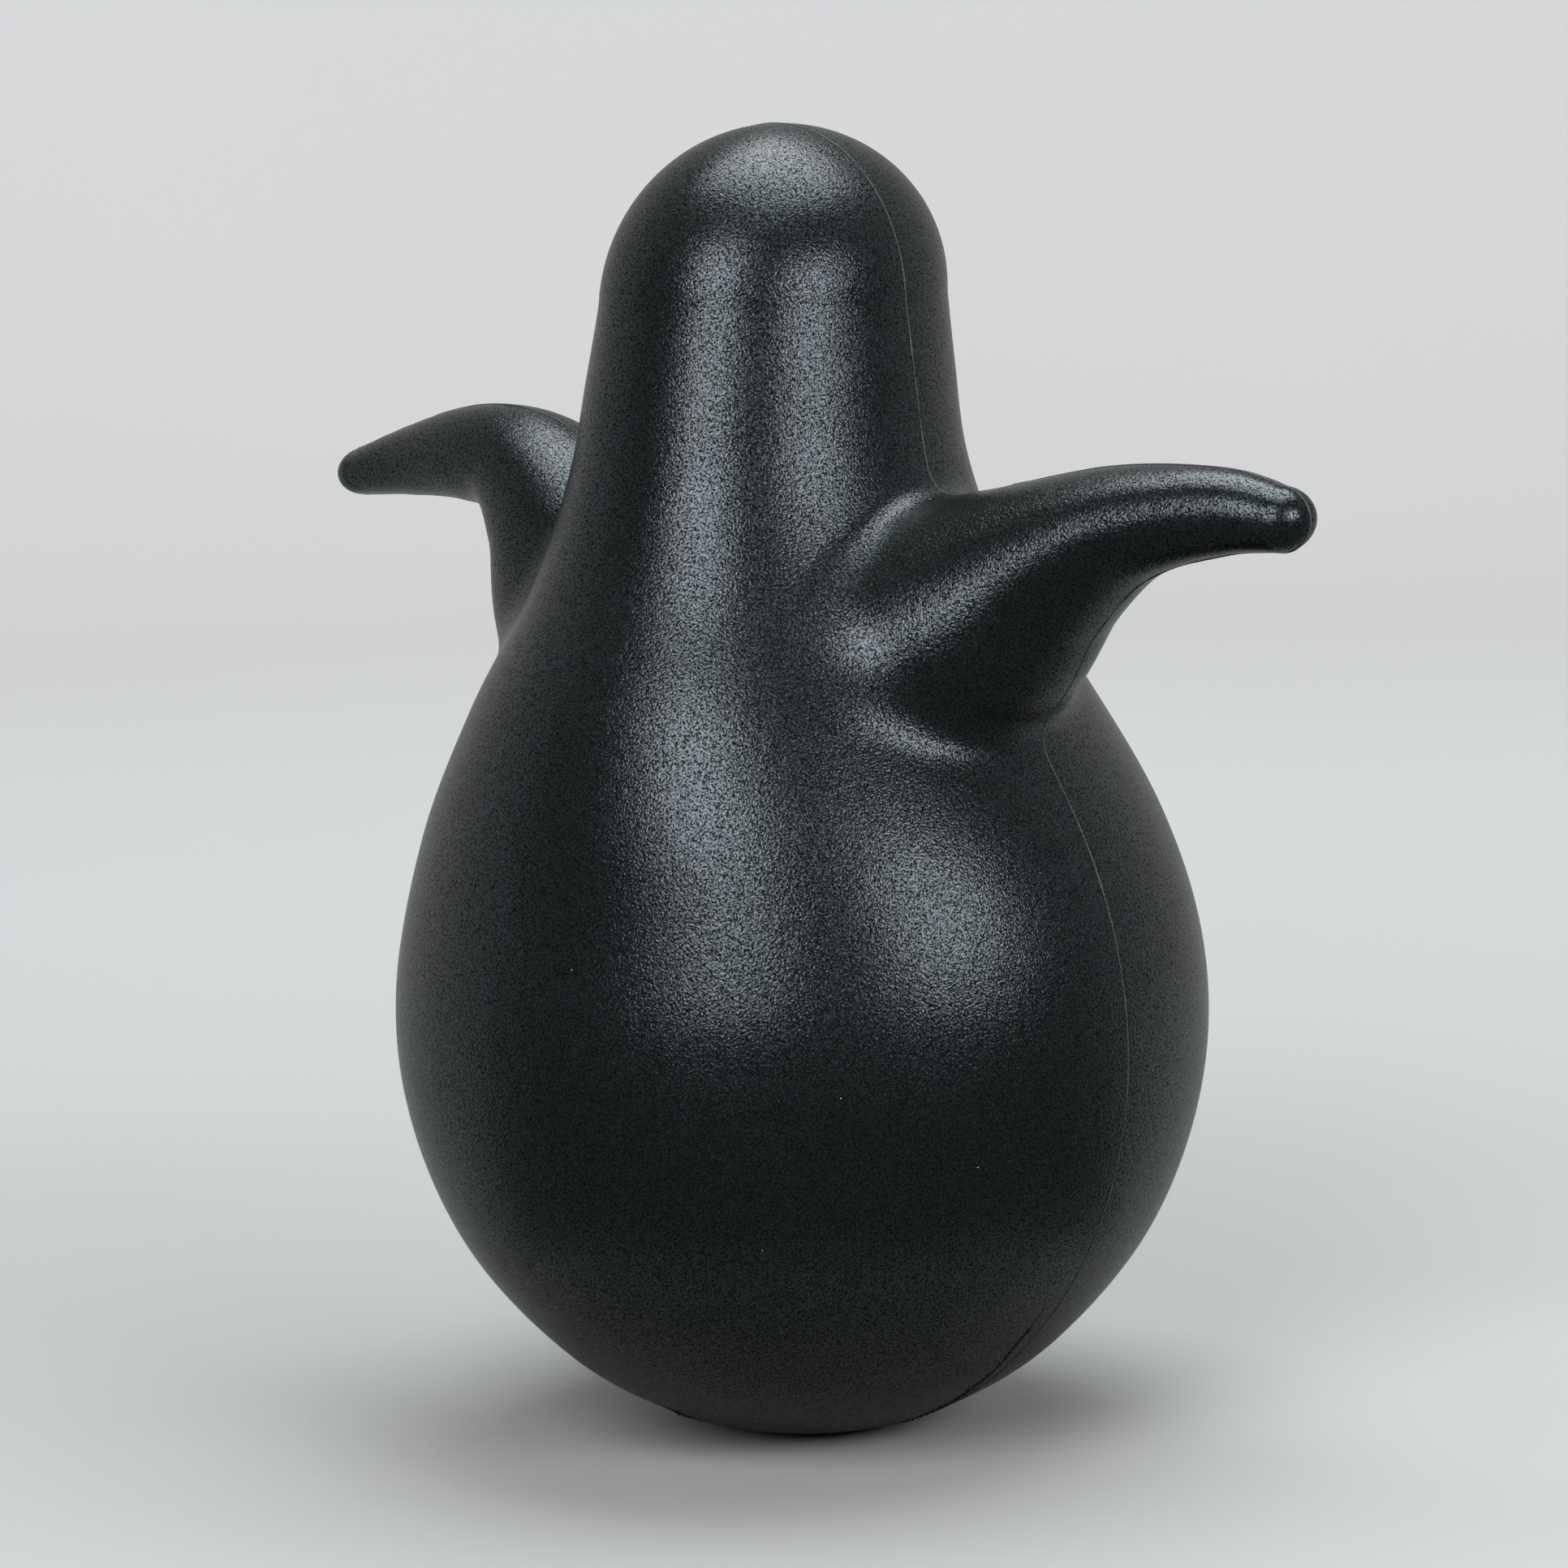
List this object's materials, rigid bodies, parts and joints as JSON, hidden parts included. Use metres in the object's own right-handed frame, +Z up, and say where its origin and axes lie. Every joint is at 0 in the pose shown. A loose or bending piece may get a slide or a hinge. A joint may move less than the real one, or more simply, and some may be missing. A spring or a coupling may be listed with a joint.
{
  "type": "self-righting bird figure",
  "caption": "Free-standing hollow plastic bird figure with a weighted round base that rocks and rights itself, and two outstretched wings.",
  "frame": {"origin": "centre of the flat foot, on the floor", "axes": "+Z up through the crown, wings along X, belly and beak towards -Y, back towards +Y"},
  "size_m": [0.57, 0.3732, 0.6],
  "materials": {
    "shell_plastic": "satin, fine leather grain",
    "cap_plastic": "matt",
    "plug_plastic": "satin",
    "seal_rubber": "matt",
    "cast_weight": "as cast",
    "plated_steel": "zinc plated"
  },
  "bodies": {
    "figure": {"back_shell": "shell_plastic", "front_shell": "shell_plastic", "base_cap": "cap_plastic", "ballast_weight": "cast_weight", "clamp_ring": "plated_steel", "clamp_screw_1": "plated_steel", "clamp_screw_2": "plated_steel", "clamp_screw_3": "plated_steel", "clamp_screw_4": "plated_steel"},
    "plug": {"filler_plug": "plug_plastic", "plug_seal": "seal_rubber"}
  },
  "joints": [
    {"name": "plug_withdrawal", "type": "slide", "parent": "figure", "child": "plug", "axis": [0, 0, -1], "range_m": [0, 0.03]}
  ]
}
